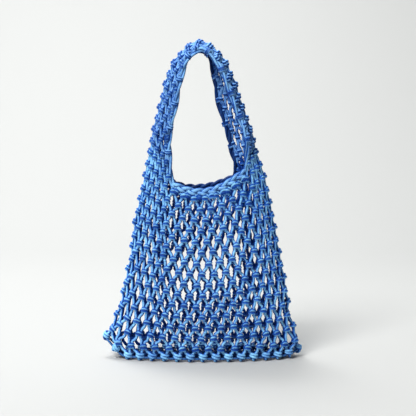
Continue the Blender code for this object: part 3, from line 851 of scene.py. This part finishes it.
def edge_cord(name, front, node, material):
    guides = edge_guides(front)
    order = np.arange(-GUIDE_LAP, len(guides) + GUIDE_LAP) % len(guides)
    wide = [smooth_curve([guides[index][part] for index in order], GUIDE_STEPS) for part in range(3)]
    start, end = GUIDE_LAP * GUIDE_STEPS, (GUIDE_LAP + len(guides)) * GUIDE_STEPS + 1
    line, ups, outs = (points[start:end] for points in wide)
    along = lengths_along(line)
    rim_length = along[(len(RIM_GUIDE_COLUMNS) - 1) * GUIDE_STEPS]
    at = np.linspace(0, along[-1], round(along[-1] / EDGE_SAMPLE_STEP) + 1)[:-1]
    centres, ups, outs = (
        np.column_stack([np.interp(at, along, points[:, axis]) for axis in range(3)])
        for points in (line, ups, outs)
    )
    ways = unit(np.roll(centres, -1, axis=0) - np.roll(centres, 1, axis=0))
    outs = unit(outs - ways * (outs * ways).sum(1, keepdims=True))
    ups = np.cross(outs, ways)
    share = np.clip(np.minimum(at, rim_length - at) / PLAIT_FADE + 0.5, 0, 1)
    share = share * share * (3 - 2 * share)
    plait_phase = 2 * math.pi * at / PLAIT_PERIOD
    strap_length = along[-1] - rim_length
    strap_turns = round(strap_length / STRAP_PAIR_PERIOD)
    pair_phase = 2 * math.pi * strap_turns * np.clip(at - rim_length, 0, None) / strap_length
    cord_mesh = CordMesh()
    for strand in range(3):
        phase = plait_phase + 2 * math.pi * strand / 3
        high = PLAIT_REACH * np.sin(phase) * share
        deep = PLAIT_DEPTH * np.sin(2 * phase) * share
        if strand < 2:
            turn = pair_phase + math.pi * strand
            high = high + STRAP_PAIR_REACH * np.cos(turn) * (1 - share)
            deep = deep + STRAP_PAIR_REACH * np.sin(turn) * (1 - share)
        path = centres + high[:, None] * ups + deep[:, None] * outs
        plump = PLAIT_CORD_RADIUS * (1 + PLAIT_SWELL * np.sin(2 * phase))
        radii = STRAP_CORD_RADIUS + (plump - STRAP_CORD_RADIUS) * share
        if strand < 2:
            shown = np.arange(len(path) + 1) % len(path)
            rings = cord_rings(path[shown], outs[shown], radii[shown])
            cord_mesh.add(rings[:, :-1], closed=True)
        else:
            shown = np.flatnonzero(share > LEAST_PLAIT_SHOWN)
            break_at = np.flatnonzero(np.diff(shown) > 1)
            if len(break_at):
                shown = np.concatenate((shown[break_at[0] + 1 :], shown[: break_at[0] + 1]))
            cord_mesh.add(cord_rings(path[shown], outs[shown], radii[shown]), capped=(0, -1))
    dress(cord_mesh.make(name), material, node, node)


front_cotton = cotton("edge_front_cotton", EDGE_FRONT_BLUES)
shaded_back_cotton = cotton("edge_back_cotton", EDGE_BACK_SHADED_BLUES)
edge_cord("edge_plait_front", True, "edge_cord_front", front_cotton)
edge_cord("edge_plait_back", False, "edge_cord_back", shaded_back_cotton)


# The base net
# A flat panel of the same net closes the bottom: rows of knots between the front and back of the base cord,
# laced to it along both sides. It lies flat on the surface.
BASE_NET_LEVELS = 4
BASE_NET_HEIGHT = 4.6
BASE_NET_MARGIN = 0.13
PANEL_KNOT_LENGTH = 0.8
PANEL_KNOT_DEPTH = 0.6
# The panel's blues are deeper than the wall's: painted shade, as it lies in shadow under the bag.
PANEL_SHADED_BLUES = ((0.002, 0.016, 0.100), (0.010, 0.068, 0.280), (0.090, 0.240, 0.560))


def base_place(order, level):
    """A place in the panel: order counts along it from the left, and level from the front to the back."""
    front = wall_point(LEFT_END + order, 0)
    back = wall_point(LEFT_END - order, 0)
    share = BASE_NET_MARGIN + (1 - 2 * BASE_NET_MARGIN) * level / BASE_NET_LEVELS
    return front + (back - front) * share + np.array((0.0, 0.0, BASE_NET_HEIGHT - BASE_CORD_HEIGHT))


base_net = CordMesh()
panel_bends = CordBatch(UPPER_STEPS, radii_between((KNOT_RADIUS,) * 2, len(UPPER_BEND)), capped=(0, -1))
panel_turns = CordBatch(LOWER_STEPS, turn_radii(KNOT_RADIUS), capped=(0, -1), turning=LOWER_TURNING)
for level in range(1, BASE_NET_LEVELS):
    for order in np.arange(1.5 if level % 2 else 2, COLUMNS / 2 - 1, 1.0):
        middle = base_place(order, level)
        way_up = unit(base_place(order, level + 0.5) - base_place(order, level - 0.5))
        out = np.array((0.0, 0.0, 1.0))
        across = unit(np.cross(way_up, out))
        corners = [
            (middle + base_place(order + aside, level + rise)) / 2
            for rise in (1, -1)
            for aside in (-0.5, 0.5)
        ]
        local = [
            [
                middle + x * across + PANEL_KNOT_LENGTH * y * way_up + PANEL_KNOT_DEPTH * z * out
                for x, y, z in template
            ]
            for template in (UPPER_BEND, LOWER_TURN)
        ]
        # Each cord's painted highlight is turned to the underside, so its upper side takes the painted
        # shade.
        panel_bends.add(
            [corners[0], *local[0], corners[1]],
            (unit(middle - corners[0]), unit(corners[1] - middle)),
            (-out, -out),
        )
        panel_turns.add(
            [corners[2], *local[1], corners[3]],
            (unit(middle - corners[2]), unit(corners[3] - middle)),
            (-out, -out),
        )
panel_bends.into(base_net)
panel_turns.into(base_net)
shaded_panel_cotton = cotton("shaded_panel_cotton", PANEL_SHADED_BLUES)
dress(base_net.make("base_panel_net"), shaded_panel_cotton, "net_base", "net_base")


# The studio
# A plain pale sweep that runs up behind the bag, lit softly from the upper left. A weaker light behind the
# bag gives the short shadow in front of it, and one more washes the sweep. Its lengths are metres.
SWEEP_RADIUS = 1.2
SWEEP_DEPTH = 2.2
SWEEP_HALF_WIDTH = 4.0
SWEEP_HEIGHT = 4.0

sweep_profile = [(-4.0, 0.0), (SWEEP_DEPTH - SWEEP_RADIUS, 0.0)]
for step in range(1, 17):
    angle = math.pi / 2 * step / 16
    sweep_profile.append((
        SWEEP_DEPTH - SWEEP_RADIUS + SWEEP_RADIUS * math.sin(angle),
        SWEEP_RADIUS - SWEEP_RADIUS * math.cos(angle),
    ))
sweep_profile.append((SWEEP_DEPTH, SWEEP_HEIGHT))
sweep_points = [(side * SWEEP_HALF_WIDTH, y, z) for y, z in sweep_profile for side in (-1, 1)]
sweep_faces = [
    (2 * index, 2 * index + 1, 2 * index + 3, 2 * index + 2) for index in range(len(sweep_profile) - 1)
]
sweep_mesh = bpy.data.meshes.new("sweep")
sweep_mesh.from_pydata(sweep_points, [], sweep_faces)
sweep_mesh.shade_smooth()
sweep = bpy.data.objects.new("sweep", sweep_mesh)
bpy.context.scene.collection.objects.link(sweep)
sweep_paper = bpy.data.materials.new("sweep_paper")
sweep_paper.use_nodes = True
paper_shader = sweep_paper.node_tree.nodes["Principled BSDF"]
paper_shader.inputs["Base Color"].default_value = (0.42, 0.43, 0.43, 1.0)
paper_shader.inputs["Roughness"].default_value = 0.75
sweep_mesh.materials.append(sweep_paper)


def soft_light(name, place, target, size, watts, colour):
    data = bpy.data.lights.new(name, "AREA")
    data.shape = "DISK"
    data.size = size
    data.energy = watts
    data.color = colour
    lamp = bpy.data.objects.new(name, data)
    bpy.context.scene.collection.objects.link(lamp)
    lamp.location = place
    lamp.rotation_euler = (Vector(target) - Vector(place)).to_track_quat("-Z", "Y").to_euler()


soft_light("key", (-2.1, -3.0, 4.5), (0.0, 0.0, 0.2), 2.4, 415.0, (1.0, 0.985, 0.96))
soft_light("behind", (-0.5, 0.8, 2.3), (0.05, -0.1, 0.0), 0.9, 34.0, (1.0, 0.99, 0.98))
soft_light("sweep_wash", (-0.6, 0.5, 2.6), (0.0, 1.9, 0.6), 2.4, 50.0, (1.0, 1.0, 0.99))

world = bpy.data.worlds.new("studio")
bpy.context.scene.world = world
world.use_nodes = True
world.node_tree.nodes["Background"].inputs["Color"].default_value = (0.93, 0.96, 1.0, 1.0)
world.node_tree.nodes["Background"].inputs["Strength"].default_value = 0.04
bpy.context.scene.view_settings.view_transform = "Standard"
